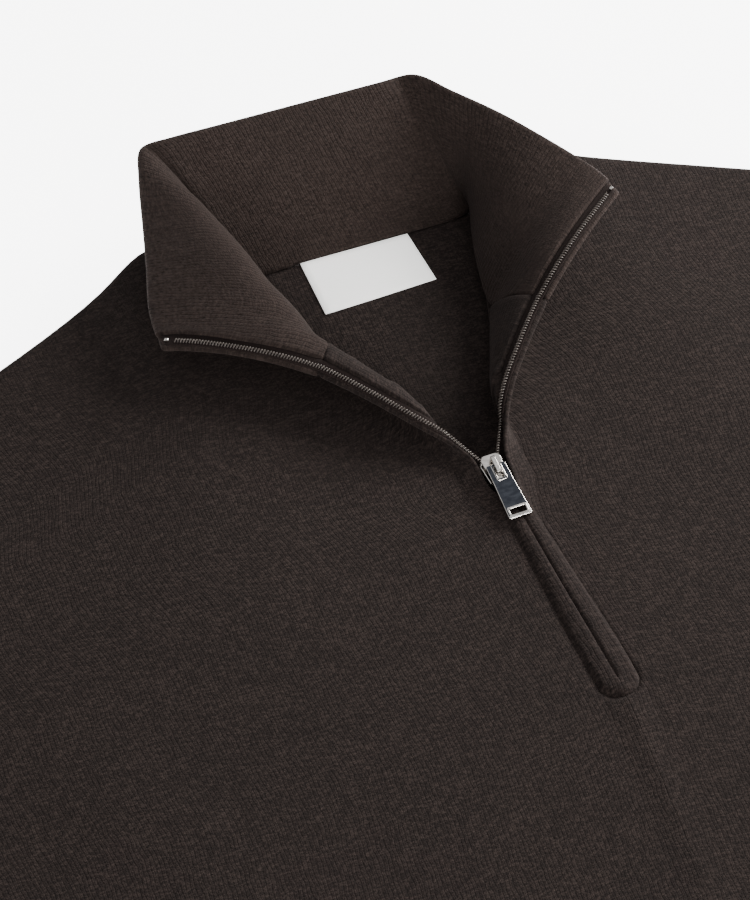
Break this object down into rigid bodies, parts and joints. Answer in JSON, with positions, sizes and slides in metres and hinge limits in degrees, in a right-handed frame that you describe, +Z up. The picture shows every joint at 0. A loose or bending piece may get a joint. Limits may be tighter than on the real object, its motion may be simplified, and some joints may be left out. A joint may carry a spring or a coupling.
{
  "type": "quarter zip sweater",
  "caption": "Fine-knit pullover laid flat on its back, with a doubled collar spread open over a half-open front zip, set-in sleeves and rib cuffs and hem",
  "frame": {"origin": "On the surface the garment lies on, under the middle of its bounding box", "axes": "+X to the wearer's left, +Y from the hem to the neck, +Z up from the surface"},
  "size_m": [1.3496, 0.7176, 0.0514],
  "materials": {
    "knit": "matt melange fine knit",
    "rib": "matt ribbed knit",
    "zip_tape": "woven tape",
    "zip_coil": "satin nylon coil",
    "nickel": "polished nickel plate",
    "gunmetal": "dark polished plate with bright rims",
    "satin": "woven satin, bare"
  },
  "bodies": {
    "garment": {"back_body": "knit", "front_body": "knit", "collar": "knit", "sleeve_left": "knit", "sleeve_right": "knit", "cuff_left": "rib", "cuff_right": "rib", "hem_rib": "rib", "zip_tape_left": "zip_tape", "zip_tape_right": "zip_tape", "zip_coil_left": "zip_coil", "zip_coil_right": "zip_coil", "slider": "nickel", "top_stop_left": "nickel", "top_stop_right": "nickel", "neck_label": "satin"},
    "tab": {"pull_tab": "gunmetal"}
  },
  "joints": [
    {"name": "tab_swing", "type": "hinge", "parent": "garment", "child": "tab", "pos_m": [0.01105, 0.1688, 0.01311], "axis": [-0.9992, -0.0401, 0], "range_deg": [0, 150]}
  ]
}
